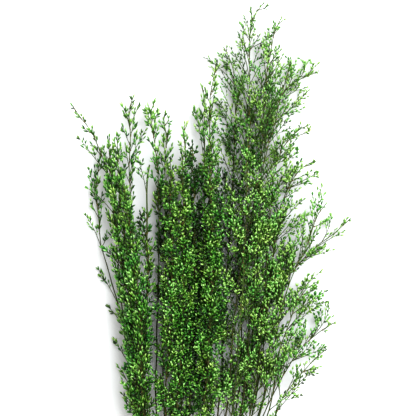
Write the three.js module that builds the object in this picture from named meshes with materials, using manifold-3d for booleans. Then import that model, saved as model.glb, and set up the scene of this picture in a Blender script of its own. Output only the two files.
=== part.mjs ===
// A bunch of preserved misty limonium, dyed green, lying on its side and held by a rubber band.
// Each cut stem with its side shoots and buds is one solid, because it grew as one piece.
// Millimetres, +Z up, the surface it lies on at Z = 0. The stems run along +Y to their tips,
// and the origin is on that surface, under the middle of the band.
import * as THREE from 'three';
import { mergeVertices } from 'three/addons/utils/BufferGeometryUtils.js';
import Module from 'manifold-3d';

const wasm = await Module();
wasm.setup();

// ---- Driving dimensions
const STEM_RADIUS = 1.1; // at the cut end and the band
const STEM_TIP_RADIUS = 0.7;
const STEM_PITCH = 2.7; // between neighbours in the band
const ROW_RISE = STEM_PITCH * Math.sqrt(3) / 2; // the stems nest like pencils
const CUT_END = -50; // Y of the average cut end
const CUT_STAGGER = 10;
const CUT_SPLAY = 1.25; // how far the stems open again below the band
const RISE_END = 250; // Y where the stems have reached their heights in the bunch
const STATION = 75; // length of one straight piece of stem
const LAYER_TO_TIP = 0.25; // share of the way from RISE_END to its tip that a stem stays in its layer
const STEM_SIDES = 4;

const BAND_WIDTH = 9.6;
const BAND_THICKNESS = 1.2;
const BAND_GROOVE = 0.75; // thickness between its turns
const BAND_GAP = 0.3; // to the stems it holds
const BAND_TURNS = 3;
const BAND_EDGE = 0.3; // width of the slope at each side of a turn
const BAND_ROOM = 3; // straight stretch of the stems beside it

const SHOOT_SPACING = 9; // on the living plant
const SHOOTS_FULLEST = 0.42; // how far up its leafy part a spray has its longest shoots
const SHOOTS_WIDEST = 1.2; // their length there, against the habit's
const SHOOTS_TAPER = 0.8; // under 1, they shorten slowly at first and fast near the tip
const SHOOTS_SHORTEST = 0.75; // a shoot's own share of the length at its place
const SHOOTS_LONGEST = 1.25;
const SHOOTS_SHIFT = 0.6; // how far one stands from its even place, as a share of the spacing
const SHOOTS_FOOT = 0.7; // the same where the leafy part begins
const TIP_SHOOT = 4; // length of a shoot at the very tip
const SHOOTS_KEPT = 5; // one in this many is built
const SHOOT_SIDES = 3;
const SHOOT_ROOT_RADIUS = 0.3;
const SHOOT_RADIUS = 0.7; // with the short stalks of its buds
const BUD_LENGTH = 4.6;
const BUD_RADIUS = 0.9;
const BUD_SIDES = 3;
const BUD_ANGLE = THREE.MathUtils.degToRad(38);
const BUD_SPACING = 28; // along a shoot
const BUDS_START = 0.28; // share of a shoot that is bare at its root
const BUDS_SHARE = 0.6; // share of it that bears buds
const BUDS_PHASE = 0.3; // where each bud stands in its own part of that
const BUD_SWING = 2; // radians within which a bud's side turns
const SHOOT_BUD_PLACE = 0.82; // share of its outer half where its end bud is widest
const LONG_SHOOT_BOW = 0.08; // bow of a long shoot, as a share of its length
const TIP_BUDS = [7, 17, 29]; // distance below a spray's tip
const GOLDEN_ANGLE = Math.PI * (3 - Math.sqrt(5)); // between one shoot and the next
const SPRAY_TURN = 2.3; // radians between the first shoots of one spray and the next
const SHOOT_SWING = 0.5; // radians within which a shoot's side turns
const CLEARANCE = 0.5; // between one spray and the next
const FLOOR_CLEARANCE = 0.2;
const SEAM_SLIVER = 0.02; // width of the slivers that joining leaves

// The layers of the bunch, from the surface up: height of the stems in the thick of it.
const LAYER_HEIGHTS = [9, 22, 36, 50, 63];

// How side shoots leave their stem: angle in degrees, length of a long one, how much they turn
// back towards the stem's line, how flat the spray lies, how short they are high on it, and the
// most that they reach as a share of the stem left to its tip.
const HABITS = {
  spire: { angle: 25, longest: 38, turn: 0.3, flat: 0.55, high: 0.3, reach: 0.32 },
  open: { angle: 40, longest: 66, turn: 0.05, flat: 0.4, high: 0.5, reach: 0.42 },
  thin: { angle: 27, longest: 20, turn: 0.3, flat: 0.6, high: 0.3, reach: 0.32 },
};

// Each spray: layer, habit, Y where its shoots begin, height of its tip, its line over the
// surface as [x, y] points that end at its tip, and its own long shoots as
// [y on the stem, tip x, tip y, tip z]. Sprays of one layer are listed from -X to +X. One has
// lost its tip: leafTo is the Y above which it is bare, and bluntTip its radius at the break.
const SPRAYS = [
  // on the surface
  { name: 'spray_left_low', layer: 0, habit: 'thin', leafFrom: 396, tipZ: 10,
    line: [[-73, 197], [-79, 274], [-84, 300], [-101, 360], [-112, 396], [-115, 427], [-119, 468],
      [-116, 498], [-112, 518]],
    shoots: [[394, -131, 437, 12], [330, -116, 371, 6], [448, -127, 492, 16], [300, -104, 325, 0],
      [226, -92, 254, 10], [190, -87, 220, 10], [255, -97, 286, 8]] },
  { name: 'spray_gap_right', layer: 0, habit: 'spire', leafFrom: 320, tipZ: 12,
    line: [[-36, 197], [-35, 396], [-35, 504], [-34, 534], [-37, 552], [-34, 563]],
    shoots: [[400, -24, 436, 0]] },
  { name: 'spray_crown_left', layer: 0, habit: 'open', leafFrom: 180, tipZ: 14,
    line: [[29, 197], [38, 336], [46, 456], [50, 576], [46, 618], [36, 641]],
    shoots: [[596, 14, 628, 12], [600, 30, 632, 18], [500, 40, 546, 0]] },
  { name: 'spray_right_arch', layer: 0, habit: 'open', leafFrom: 260, tipZ: 10,
    line: [[59, 197], [74, 336], [83, 504], [89, 552], [100, 578], [115, 594], [133, 605], [152, 612]],
    shoots: [[590, 128, 627, 14], [600, 141, 625, 8], [572, 112, 628, 16], [540, 138, 588, 12]] },
  { name: 'spray_right_long', layer: 0, habit: 'open', leafFrom: 250, tipZ: 12,
    line: [[79, 197], [91, 276], [105, 336], [115, 364], [128, 380], [151, 402], [169, 415], [190, 434]],
    shoots: [[398, 181, 418, 8], [405, 166, 438, 14], [300, 128, 334, 0], [372, 152, 424, 18]] },
  // second layer
  { name: 'spray_left_tip', layer: 1, habit: 'thin', leafFrom: 400, tipZ: 18,
    line: [[-70, 197], [-78, 252], [-86, 312], [-92, 384], [-98, 444], [-105, 492], [-114, 516],
      [-125, 540], [-136, 554], [-148, 572]],
    shoots: [[486, -138, 530, 22], [440, -128, 470, 24]] },
  { name: 'spray_left_spire', layer: 1, habit: 'spire', leafFrom: 160, tipZ: 20,
    line: [[-62, 197], [-70, 300], [-76, 396], [-78, 480], [-77, 540], [-79, 562], [-73, 582]],
    shoots: [[540, -86, 569, 24], [545, -67, 570, 18], [500, -59, 539, 22], [478, -67, 517, 26]] },
  { name: 'spray_twin', layer: 1, habit: 'spire', leafFrom: 190, tipZ: 22,
    line: [[5, 197], [12, 396], [13, 504], [13, 540], [12, 576], [10, 593]],
    shoots: [[498, 1, 566, 26]] },
  { name: 'spray_tallest', layer: 1, habit: 'open', leafFrom: 185, tipZ: 20,
    line: [[50, 197], [59, 336], [65, 504], [67, 540], [67, 612], [67, 654], [72, 677], [84, 694]],
    shoots: [[600, 55, 652, 28], [625, 61, 676, 22]] },
  { name: 'spray_right_upper', layer: 1, habit: 'open', leafFrom: 225, tipZ: 20,
    line: [[70, 197], [89, 336], [100, 426], [112, 468], [127, 492], [146, 504]],
    shoots: [[470, 137, 478, 16], [455, 128, 503, 26]] },
  { name: 'spray_right_foot', layer: 1, habit: 'open', leafFrom: 205, tipZ: 14,
    line: [[84, 197], [92, 216], [109, 246], [128, 276], [151, 296], [172, 309]],
    shoots: [[262, 158, 277, 8], [285, 146, 317, 18], [244, 134, 306, 22],
      [280, 163, 330, 12]] },
  // middle layer
  { name: 'spray_left_outer', layer: 2, habit: 'spire', leafFrom: 150, tipZ: 30,
    line: [[-67, 197], [-76, 300], [-87, 384], [-96, 450], [-101, 500], [-102, 534]],
    shoots: [[372, -108, 398, 34], [440, -106, 476, 30]] },
  { name: 'spray_gap_left', layer: 2, habit: 'thin', leafFrom: 440, tipZ: 30,
    line: [[-44, 197], [-44, 300], [-42, 402], [-43, 468], [-44, 504], [-49, 534], [-52, 558],
      [-47, 576]],
    shoots: [[530, -57, 566, 34], [540, -44, 562, 26]] },
  { name: 'spray_mid_spire', layer: 2, habit: 'spire', leafFrom: 180, tipZ: 30,
    line: [[-15, 197], [-10, 396], [-10, 504], [-12, 534], [-11, 550]], shoots: [] },
  { name: 'spray_mid_tall', layer: 2, habit: 'spire', leafFrom: 180, tipZ: 32,
    line: [[12, 197], [19, 396], [20, 504], [19, 576], [22, 594], [28, 622]], shoots: [] },
  { name: 'spray_crown_right', layer: 2, habit: 'open', leafFrom: 205, tipZ: 28,
    line: [[55, 197], [69, 336], [81, 516], [86, 590], [91, 630], [97, 658], [106, 677]],
    shoots: [[590, 112, 618, 34], [610, 102, 640, 24]] },
  { name: 'spray_right_shoulder', layer: 2, habit: 'open', leafFrom: 215, tipZ: 28,
    line: [[67, 197], [84, 336], [94, 468], [104, 514], [115, 529], [127, 541], [140, 547]],
    shoots: [[500, 124, 517, 26]] },
  { name: 'spray_right_middle', layer: 2, habit: 'open', leafFrom: 240, tipZ: 26,
    line: [[78, 197], [104, 324], [122, 374], [138, 408], [149, 438], [160, 453]],
    shoots: [[404, 153, 473, 32], [380, 133, 440, 36]] },
  // fourth layer
  { name: 'spray_left_inner', layer: 3, habit: 'spire', leafFrom: 160, tipZ: 42,
    line: [[-63, 197], [-70, 300], [-80, 390], [-88, 460], [-92, 536]], shoots: [] },
  { name: 'spray_snapped', layer: 3, habit: 'thin', leafFrom: 200, leafTo: 440, tipZ: 40, bluntTip: 1,
    line: [[-57, 197], [-55, 360], [-56, 450], [-56, 480], [-53, 498]],
    shoots: [[462, -67, 505, 46]] },
  { name: 'spray_middle', layer: 3, habit: 'spire', leafFrom: 180, tipZ: 40,
    line: [[-5, 197], [0, 336], [0, 456], [-2, 526]], shoots: [] },
  { name: 'spray_crown_middle', layer: 3, habit: 'open', leafFrom: 190, tipZ: 42,
    line: [[38, 197], [50, 336], [72, 456], [94, 540], [107, 590], [116, 622]], shoots: [] },
  { name: 'spray_right_low', layer: 3, habit: 'open', leafFrom: 205, tipZ: 32,
    line: [[86, 197], [102, 276], [118, 322], [133, 348], [151, 360]],
    shoots: [[296, 158, 333, 24], [320, 149, 343, 40]] },
  { name: 'spray_right_lowest', layer: 3, habit: 'open', leafFrom: 215, tipZ: 26,
    line: [[96, 197], [110, 228], [139, 262], [160, 277]],
    shoots: [[222, 148, 252, 20], [204, 131, 239, 30], [168, 104, 210, 30]] },
  // on top
  { name: 'spray_top_left', layer: 4, habit: 'spire', leafFrom: 168, tipZ: 54,
    line: [[-58, 197], [-62, 300], [-71, 390], [-84, 480]], shoots: [] },
  { name: 'spray_top_bright', layer: 4, habit: 'spire', leafFrom: 172, tipZ: 54,
    line: [[-33, 197], [-27, 300], [-26, 396], [-28, 506]], shoots: [] },
  { name: 'spray_top_second', layer: 4, habit: 'spire', leafFrom: 175, tipZ: 56,
    line: [[-19, 197], [-14, 288], [-12, 396], [-14, 514]], shoots: [] },
  { name: 'spray_top_middle', layer: 4, habit: 'spire', leafFrom: 180, tipZ: 56,
    line: [[12, 197], [18, 288], [22, 396], [18, 522]], shoots: [] },
  { name: 'spray_top_right', layer: 4, habit: 'open', leafFrom: 190, tipZ: 54,
    line: [[44, 197], [53, 288], [60, 396], [64, 528]], shoots: [] },
];

const UP = new THREE.Vector3(0, 0, 1);
const vec = (x, y, z) => new THREE.Vector3(x, y, z);
const mix = THREE.MathUtils.lerp;
const smooth = THREE.MathUtils.smoothstep;

// A repeatable draw from 0 to 1 for whole-number keys.
function draw(...keys) {
  let h = 2166136261;
  for (const key of keys) {
    h = Math.imul(h ^ key, 16777619);
    h ^= h >>> 13;
    h = Math.imul(h, 1540483477);
    h ^= h >>> 15;
  }
  return (h >>> 0) / 4294967296;
}

// The value at `at` of a smooth line through [value, at] points in rising order of `at`.
function smoothLine(points, at) {
  const last = points.length - 1;
  let i = 0;
  while (i < last - 1 && at > points[i + 1][1]) i += 1;
  const slope = (j) => {
    const a = points[Math.max(j - 1, 0)];
    const b = points[Math.min(j + 1, last)];
    return (b[0] - a[0]) / (b[1] - a[1]);
  };
  const [v0, t0] = points[i];
  const [v1, t1] = points[i + 1];
  const span = t1 - t0;
  const t = (at - t0) / span;
  return v0 * (2 * t ** 3 - 3 * t ** 2 + 1) + v1 * (3 * t ** 2 - 2 * t ** 3)
    + span * (slope(i) * (t ** 3 - 2 * t ** 2 + t) + slope(i + 1) * (t ** 3 - t ** 2));
}

// ---- Solids
function toSolid(positions, triangles) {
  const mesh = new wasm.Mesh({
    numProp: 3,
    vertProperties: new Float32Array(positions),
    triVerts: new Uint32Array(triangles),
  });
  return new wasm.Manifold(mesh);
}

// A closed rod along points, with a radius at each. Radius 0 at the last point is a sharp tip.
function rod(points, radii, sides, turn = 0) {
  const positions = [];
  const triangles = [];
  const last = points.length - 1;
  const pointed = radii[last] === 0;
  const rings = pointed ? last : last + 1;
  for (let i = 0; i < rings; i += 1) {
    const along = points[Math.min(i + 1, last)].clone().sub(points[Math.max(i - 1, 0)]).normalize();
    const across = along.clone().cross(UP).normalize();
    const over = across.clone().cross(along);
    for (let k = 0; k < sides; k += 1) {
      const a = turn + k * 2 * Math.PI / sides;
      const p = points[i].clone();
      p.addScaledVector(across, radii[i] * Math.cos(a)).addScaledVector(over, radii[i] * Math.sin(a));
      positions.push(p.x, p.y, Math.max(p.z, 0));
    }
  }
  for (let k = 1; k < sides - 1; k += 1) triangles.push(0, k, k + 1);
  for (let i = 0; i < rings - 1; i += 1) {
    for (let k = 0; k < sides; k += 1) {
      const a = i * sides + k;
      const b = i * sides + (k + 1) % sides;
      triangles.push(a, b + sides, b, a, a + sides, b + sides);
    }
  }
  const top = (rings - 1) * sides;
  if (pointed) {
    positions.push(points[last].x, points[last].y, points[last].z);
    for (let k = 0; k < sides; k += 1) triangles.push(top + k, rings * sides, top + (k + 1) % sides);
  } else {
    for (let k = 1; k < sides - 1; k += 1) triangles.push(top, top + k + 1, top + k);
  }
  return toSolid(positions, triangles);
}

// A three-sided spindle from its root to its tip, sharp at both ends.
function budSolid(bud) {
  const along = bud.tip.clone().sub(bud.root);
  const direction = along.clone().normalize();
  const across = direction.clone().cross(UP).normalize();
  const over = across.clone().cross(direction);
  const belly = bud.root.clone().addScaledVector(along, 0.5);
  const positions = [bud.root.x, bud.root.y, bud.root.z, bud.tip.x, bud.tip.y, bud.tip.z];
  for (let k = 0; k < BUD_SIDES; k += 1) {
    const a = bud.turn + k * 2 * Math.PI / BUD_SIDES;
    const p = belly.clone();
    p.addScaledVector(across, BUD_RADIUS * Math.cos(a)).addScaledVector(over, BUD_RADIUS * Math.sin(a));
    positions.push(p.x, p.y, p.z);
  }
  const triangles = [];
  for (let k = 0; k < BUD_SIDES; k += 1) {
    const a = 2 + k;
    const b = 2 + (k + 1) % BUD_SIDES;
    triangles.push(0, a, b, 1, b, a);
  }
  return toSolid(positions, triangles);
}

// Solids joined two by two, then the pairs, until one is left. Slivers along the seams go.
function joined(solids) {
  let list = solids;
  while (list.length > 1) {
    const pairs = [];
    for (let i = 0; i < list.length; i += 2) {
      pairs.push(i + 1 < list.length ? list[i].add(list[i + 1]) : list[i]);
    }
    list = pairs;
  }
  return list[0].simplify(SEAM_SLIVER);
}

function geometryOf(solid) {
  const mesh = solid.getMesh();
  const geometry = new THREE.BufferGeometry();
  geometry.setAttribute('position', new THREE.BufferAttribute(mesh.vertProperties, 3));
  geometry.setIndex(new THREE.BufferAttribute(mesh.triVerts, 1));
  return geometry;
}

// ---- How the sprays lie
// The stem's place in the band, as [x, z].
function slotOf(spray) {
  const row = SPRAYS.filter((other) => other.layer === spray.layer);
  const x = (row.indexOf(spray) - (row.length - 1) / 2) * STEM_PITCH;
  const z = BAND_THICKNESS + BAND_GAP + STEM_RADIUS + spray.layer * ROW_RISE;
  return [x, z];
}

const BUNDLE_MIDDLE_Z = BAND_THICKNESS + BAND_GAP + STEM_RADIUS + 2 * ROW_RISE;

// The stem's middle line: straight through the band, then rising to its layer and on to its tip.
function stemLine(spray, index) {
  const [slotX, slotZ] = slotOf(spray);
  const straight = BAND_WIDTH / 2 + BAND_ROOM;
  const tip = spray.line.at(-1);
  const cutY = CUT_END + (draw(index, 1) - 0.5) * 2 * CUT_STAGGER;
  const route = [[slotX, -straight], [slotX, straight], ...spray.line];
  const height = (y) => {
    const risen = mix(slotZ, LAYER_HEIGHTS[spray.layer], smooth(y, straight, RISE_END));
    return mix(risen, spray.tipZ, smooth(y, mix(RISE_END, tip[1], LAYER_TO_TIP), tip[1]));
  };
  const cutZ = BUNDLE_MIDDLE_Z + (slotZ - BUNDLE_MIDDLE_Z) * CUT_SPLAY;
  const points = [vec(slotX * CUT_SPLAY, cutY, cutZ), vec(slotX, -straight, slotZ)];
  for (let y = straight; y < tip[1] - STATION / 3; y += STATION) {
    points.push(vec(smoothLine(route, y), y, height(y)));
  }
  points.push(vec(tip[0], tip[1], spray.tipZ));
  return points;
}

// The point of a stem's line at y, and the line's direction there.
function onStem(points, y) {
  let i = 0;
  while (i < points.length - 2 && y > points[i + 1].y) i += 1;
  const direction = points[i + 1].clone().sub(points[i]);
  const point = points[i].clone().addScaledVector(direction, (y - points[i].y) / direction.y);
  return { point, direction: direction.normalize() };
}

// A side shoot by its azimuth round the stem, as root, elbow and tip.
function shootPath(points, y, azimuth, length, habit) {
  const { point, direction } = onStem(points, y);
  const heading = leaning(direction, THREE.MathUtils.degToRad(habit.angle), azimuth, habit.flat);
  const elbow = point.clone().addScaledVector(heading, length / 2);
  const turned = heading.clone().addScaledVector(direction, habit.turn).normalize();
  const tip = elbow.clone().addScaledVector(turned, length / 2);
  return [point, elbow, tip];
}

// A long shoot to a tip of its own, bowed a little towards the stem's line.
function longShootPath(points, [y, tipX, tipY, tipZ]) {
  const { point, direction } = onStem(points, y);
  const tip = vec(tipX, tipY, tipZ);
  const bow = LONG_SHOOT_BOW * point.distanceTo(tip);
  const elbow = point.clone().lerp(tip, 0.5).addScaledVector(direction, bow);
  return [point, elbow, tip];
}

// A direction at an angle to `direction`, at an azimuth round it that starts sideways.
function leaning(direction, angle, azimuth, flat = 1) {
  const across = direction.clone().cross(UP).normalize();
  const over = across.clone().cross(direction);
  return direction.clone().multiplyScalar(Math.cos(angle))
    .addScaledVector(across, Math.sin(angle) * Math.cos(azimuth))
    .addScaledVector(over, Math.sin(angle) * Math.sin(azimuth) * flat)
    .normalize();
}

// The k-th bud of a shoot or a stem tip, on alternate sides.
function budAt(point, direction, k, keys) {
  const azimuth = k * Math.PI + (draw(...keys, k, 5) - 0.5) * BUD_SWING;
  const heading = leaning(direction, BUD_ANGLE, azimuth);
  const tip = point.clone().addScaledVector(heading, BUD_LENGTH);
  return { root: point, tip, turn: draw(...keys, k, 6) * Math.PI };
}

// Buds that stand out of a shoot, from near its root to near its tip.
function budsOn([root, elbow, tip], keys) {
  const lower = root.distanceTo(elbow);
  const length = lower + elbow.distanceTo(tip);
  const count = Math.max(1, Math.round(length * (1 - BUDS_START) / BUD_SPACING));
  return Array.from({ length: count }, (_, k) => {
    const at = length * (BUDS_START + BUDS_SHARE * (k + BUDS_PHASE) / count);
    const [from, to, start] = at < lower ? [root, elbow, 0] : [elbow, tip, lower];
    const direction = to.clone().sub(from).normalize();
    return budAt(from.clone().addScaledVector(direction, at - start), direction, k, keys);
  });
}

// Buds on the last stretch of a stem.
function tipBuds(points, keys) {
  const tip = points.at(-1);
  const direction = tip.clone().sub(points.at(-2)).normalize();
  return TIP_BUDS.map((below, k) => {
    const point = tip.clone().addScaledVector(direction, -below);
    return budAt(point, direction, k, keys);
  });
}

// ---- Room between the sprays, kept as rods with round ends in a grid of cells
const CELL = 14; // near the length of most of the rods
const cells = new Map();

const PARALLEL = 1e-9; // below this, two rods count as parallel

function segmentDistance(a, b, c, d) {
  const u = b.clone().sub(a);
  const v = d.clone().sub(c);
  const w = a.clone().sub(c);
  const uu = u.dot(u);
  const vv = v.dot(v);
  const uv = u.dot(v);
  const uw = u.dot(w);
  const vw = v.dot(w);
  const clamp = (t) => Math.min(1, Math.max(0, t));
  const square = uu * vv - uv * uv;
  let s = square > PARALLEL ? clamp((uv * vw - vv * uw) / square) : 0;
  const t = clamp((uv * s + vw) / vv);
  s = clamp((uv * t - uw) / uu);
  return w.addScaledVector(u, s).addScaledVector(v, -t).length();
}

function cellKeys({ from, to, radius }) {
  const reach = radius + CLEARANCE;
  const low = from.clone().min(to).subScalar(reach).divideScalar(CELL).floor();
  const high = from.clone().max(to).addScalar(reach).divideScalar(CELL).floor();
  const keys = [];
  for (let x = low.x; x <= high.x; x += 1) {
    for (let y = low.y; y <= high.y; y += 1) {
      for (let z = low.z; z <= high.z; z += 1) keys.push(`${x},${y},${z}`);
    }
  }
  return keys;
}

function occupy(bars) {
  for (const bar of bars) {
    for (const key of cellKeys(bar)) {
      if (!cells.has(key)) cells.set(key, new Set());
      cells.get(key).add(bar);
    }
  }
}

function gapTo(bar) {
  let gap = Infinity;
  for (const key of cellKeys(bar)) {
    for (const other of cells.get(key) ?? []) {
      if (other.owner === bar.owner) continue;
      const apart = segmentDistance(bar.from, bar.to, other.from, other.to);
      gap = Math.min(gap, apart - bar.radius - other.radius);
    }
  }
  return gap;
}

const isFree = (bars) => bars.every((bar) => gapTo(bar) >= CLEARANCE);
const isAboveFloor = (bars) => bars.every(
  (bar) => Math.min(bar.from.z, bar.to.z) - bar.radius >= FLOOR_CLEARANCE,
);

const stemBars = (points, owner) => points.slice(1).map(
  (to, i) => ({ from: points[i], to, radius: STEM_RADIUS, owner }),
);
const shootBars = (path, owner) => path.slice(1).map(
  (to, i) => ({ from: path[i], to, radius: BUD_RADIUS, owner }),
);
const budBars = (bud, owner) => [{ from: bud.root, to: bud.tip, radius: BUD_RADIUS, owner }];

// ---- The sprays grow: stems first, then their long shoots, then the others in turn
const TIP_KEY = 99; // the draws at a tip, and after it the long shoots', beyond the side shoots'
const plants = SPRAYS.map((spray, index) => {
  const points = stemLine(spray, index);
  return { spray, index, points, shoots: [], buds: [] };
});
for (const plant of plants) occupy(stemBars(plant.points, plant.index));

function addBuds(plant, buds) {
  for (const bud of buds) {
    const bars = budBars(bud, plant.index);
    if (!isAboveFloor(bars) || !isFree(bars)) continue;
    plant.buds.push(bud);
    occupy(bars);
  }
}

function addShoot(plant, path, keys) {
  plant.shoots.push(path);
  occupy(shootBars(path, plant.index));
  addBuds(plant, budsOn(path, keys));
}

for (const plant of plants) {
  if (!plant.spray.bluntTip) addBuds(plant, tipBuds(plant.points, [plant.index, TIP_KEY]));
  plant.spray.shoots.forEach((shoot, i) => {
    const path = longShootPath(plant.points, shoot);
    addShoot(plant, path, [plant.index, TIP_KEY + 1 + i]);
  });
}

// Length of a stem from y to its tip.
function leftToTip(points, y) {
  let left = 0;
  for (let i = points.length - 1; points[i].y > y; i -= 1) {
    const from = points[i - 1].y < y ? onStem(points, y).point : points[i - 1];
    left += from.distanceTo(points[i]);
  }
  return left;
}

// Length of the i-th side shoot, at y and at a share of the leafy part's height: short where that
// begins, longest near its middle, and shorter again to the tip.
function shootLength(plant, i, y, height) {
  const habit = HABITS[plant.spray.habit];
  const below = mix(SHOOTS_FOOT, 1, smooth(height, 0, SHOOTS_FULLEST));
  const above = mix(habit.high, 1, (1 - height) ** SHOOTS_TAPER);
  const own = mix(SHOOTS_SHORTEST, SHOOTS_LONGEST, draw(plant.index, i, 2));
  const room = TIP_SHOOT + habit.reach * leftToTip(plant.points, y);
  return Math.min(habit.longest * SHOOTS_WIDEST * below * above * own, room);
}

// Where a shoot would touch another spray, it turns round its stem, and then is shorter.
const AZIMUTH_TRIES = [0, 0.6, -0.6, 1.2, -1.2, 1.9, -1.9, 2.6];
const LENGTH_TRIES = [1, 0.75, 0.55];

function growShoot(plant, i) {
  const { spray, points, index } = plant;
  const habit = HABITS[spray.habit];
  const tipY = spray.leafTo ?? spray.line.at(-1)[1];
  const y = spray.leafFrom + (i + SHOOTS_SHIFT * draw(index, i, 3)) * SHOOT_SPACING;
  if (y > tipY - BUD_LENGTH) return false;
  const height = (y - spray.leafFrom) / (tipY - spray.leafFrom);
  const length = shootLength(plant, i, y, height);
  const swing = (draw(index, i, 4) - 0.5) * SHOOT_SWING;
  const azimuth = i * GOLDEN_ANGLE + index * SPRAY_TURN + swing;
  for (const shorter of LENGTH_TRIES) {
    for (const nudge of AZIMUTH_TRIES) {
      const path = shootPath(points, y, azimuth + nudge, length * shorter, habit);
      const bars = shootBars(path, index);
      if (isAboveFloor(bars) && isFree(bars)) {
        addShoot(plant, path, [index, i]);
        return true;
      }
    }
  }
  return true;
}

for (let i = 0, growing = true; growing; i += SHOOTS_KEPT) {
  growing = plants.map((plant) => growShoot(plant, i)).some(Boolean);
}

// ---- Meshes
const GREENS = { spire: 0x3f7a1f, open: 0x5a8230, thin: 0x4c7f2c };

function sprayMesh(plant) {
  const { spray, points, shoots, buds, index } = plant;
  const last = points.length - 1;
  const tipY = points[last].y;
  const radii = points.map(({ y }) => mix(STEM_RADIUS, STEM_TIP_RADIUS, smooth(y, 0, tipY)));
  const line = [...points];
  if (spray.bluntTip) {
    radii[last] = spray.bluntTip;
  } else {
    const share = BUD_LENGTH / 2 / points[last].distanceTo(points[last - 1]);
    const bud = points[last].clone().lerp(points[last - 1], share);
    line.splice(last, 0, bud);
    radii.splice(last, 1, BUD_RADIUS, 0);
  }
  const solids = [rod(line, radii, STEM_SIDES)];
  shoots.forEach(([root, elbow, tip], i) => {
    const bud = elbow.clone().lerp(tip, SHOOT_BUD_PLACE);
    const shootRadii = [SHOOT_ROOT_RADIUS, SHOOT_RADIUS, BUD_RADIUS, 0];
    const turn = draw(index, i, 7) * Math.PI;
    solids.push(rod([root, elbow, bud, tip], shootRadii, SHOOT_SIDES, turn));
  });
  for (const bud of buds) solids.push(budSolid(bud));
  const material = new THREE.MeshStandardMaterial({
    color: GREENS[spray.habit],
    roughness: 0.75,
    metalness: 0,
  });
  const mesh = new THREE.Mesh(geometryOf(joined(solids)), material);
  mesh.name = spray.name;
  return mesh;
}

const CORNER_BENDS = [-30, 0, 30]; // degrees, the band's three edges round a corner stem

// The rubber band: a closed loop round the six corner stems, its turns side by side.
function bandMesh() {
  const rowCounts = LAYER_HEIGHTS.map((_, layer) => SPRAYS.filter((s) => s.layer === layer).length);
  const lowZ = BAND_THICKNESS + BAND_GAP + STEM_RADIUS;
  const corner = (layer, side) => {
    const x = side * (rowCounts[layer] - 1) / 2 * STEM_PITCH;
    return [x, lowZ + layer * ROW_RISE];
  };
  const corners = [
    corner(0, -1), corner(0, 1), corner(2, 1), corner(4, 1), corner(4, -1), corner(2, -1),
  ];
  const headings = [-120, -60, 0, 60, 120, 180]; // degrees from +X to +Z, out of each corner
  const half = BAND_WIDTH / 2;
  const turnWidth = BAND_WIDTH / BAND_TURNS;
  const outside = BAND_GAP + BAND_THICKNESS;
  const profile = [[-half, BAND_GAP]];
  for (let k = 0; k < BAND_TURNS; k += 1) {
    const start = -half + k * turnWidth;
    const end = start + turnWidth;
    profile.push([start + BAND_EDGE, outside], [end - BAND_EDGE, outside]);
    if (k < BAND_TURNS - 1) profile.push([end, BAND_GAP + BAND_GROOVE]);
  }
  profile.push([half, BAND_GAP]);
  const positions = [];
  corners.forEach(([x, z], c) => {
    for (const bend of CORNER_BENDS) {
      const a = THREE.MathUtils.degToRad(headings[c] + bend);
      for (const [y, offset] of profile) {
        const r = STEM_RADIUS + offset;
        positions.push(x + r * Math.cos(a), y, z + r * Math.sin(a));
      }
    }
  });
  const around = corners.length * CORNER_BENDS.length;
  const count = profile.length;
  const triangles = [];
  for (let i = 0; i < around; i += 1) {
    for (let k = 0; k < count; k += 1) {
      const a = i * count + k;
      const b = i * count + (k + 1) % count;
      const c = ((i + 1) % around) * count + (k + 1) % count;
      const d = ((i + 1) % around) * count + k;
      triangles.push(a, b, c, a, c, d);
    }
  }
  const geometry = new THREE.BufferGeometry();
  geometry.setAttribute('position', new THREE.BufferAttribute(new Float32Array(positions), 3));
  geometry.setIndex(triangles);
  const material = new THREE.MeshStandardMaterial({ color: 0xb79a6a, roughness: 0.6, metalness: 0 });
  const mesh = new THREE.Mesh(mergeVertices(geometry), material);
  mesh.name = 'band';
  return mesh;
}

const bunch = new THREE.Group();
for (const plant of plants) bunch.add(sprayMesh(plant));
bunch.add(bandMesh());

export default bunch;
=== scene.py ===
# A bunch of preserved misty limonium, dyed green, lying on a pale surface and seen from above.
# Stems, tips and long shoots stand where the solids have them. Each solid is replaced by a finer
# spray: a smooth stem with its scales, curved shoots, side twigs, and a bud at every twig's end.
import math
from collections import namedtuple

import bpy
import numpy as np
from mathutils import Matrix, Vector
from mathutils.kdtree import KDTree


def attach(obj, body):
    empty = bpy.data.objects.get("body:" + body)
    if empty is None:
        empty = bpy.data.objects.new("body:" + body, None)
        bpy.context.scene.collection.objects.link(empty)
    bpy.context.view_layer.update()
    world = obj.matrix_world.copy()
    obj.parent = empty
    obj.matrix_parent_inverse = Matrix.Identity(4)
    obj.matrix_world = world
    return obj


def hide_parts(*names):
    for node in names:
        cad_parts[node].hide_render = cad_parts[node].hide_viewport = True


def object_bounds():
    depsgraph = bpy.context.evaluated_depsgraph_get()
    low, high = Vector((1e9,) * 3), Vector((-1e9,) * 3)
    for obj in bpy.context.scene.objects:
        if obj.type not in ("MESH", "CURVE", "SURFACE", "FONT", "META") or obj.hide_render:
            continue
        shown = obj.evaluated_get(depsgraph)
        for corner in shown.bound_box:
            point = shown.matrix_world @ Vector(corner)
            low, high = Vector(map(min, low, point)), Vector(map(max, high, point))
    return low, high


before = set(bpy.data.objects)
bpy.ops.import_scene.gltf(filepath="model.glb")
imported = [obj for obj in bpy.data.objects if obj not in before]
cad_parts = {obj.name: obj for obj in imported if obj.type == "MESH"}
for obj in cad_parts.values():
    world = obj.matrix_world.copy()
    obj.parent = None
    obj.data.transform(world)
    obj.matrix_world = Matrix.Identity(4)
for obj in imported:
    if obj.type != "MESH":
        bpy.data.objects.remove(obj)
cad_low, cad_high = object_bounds()

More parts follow.
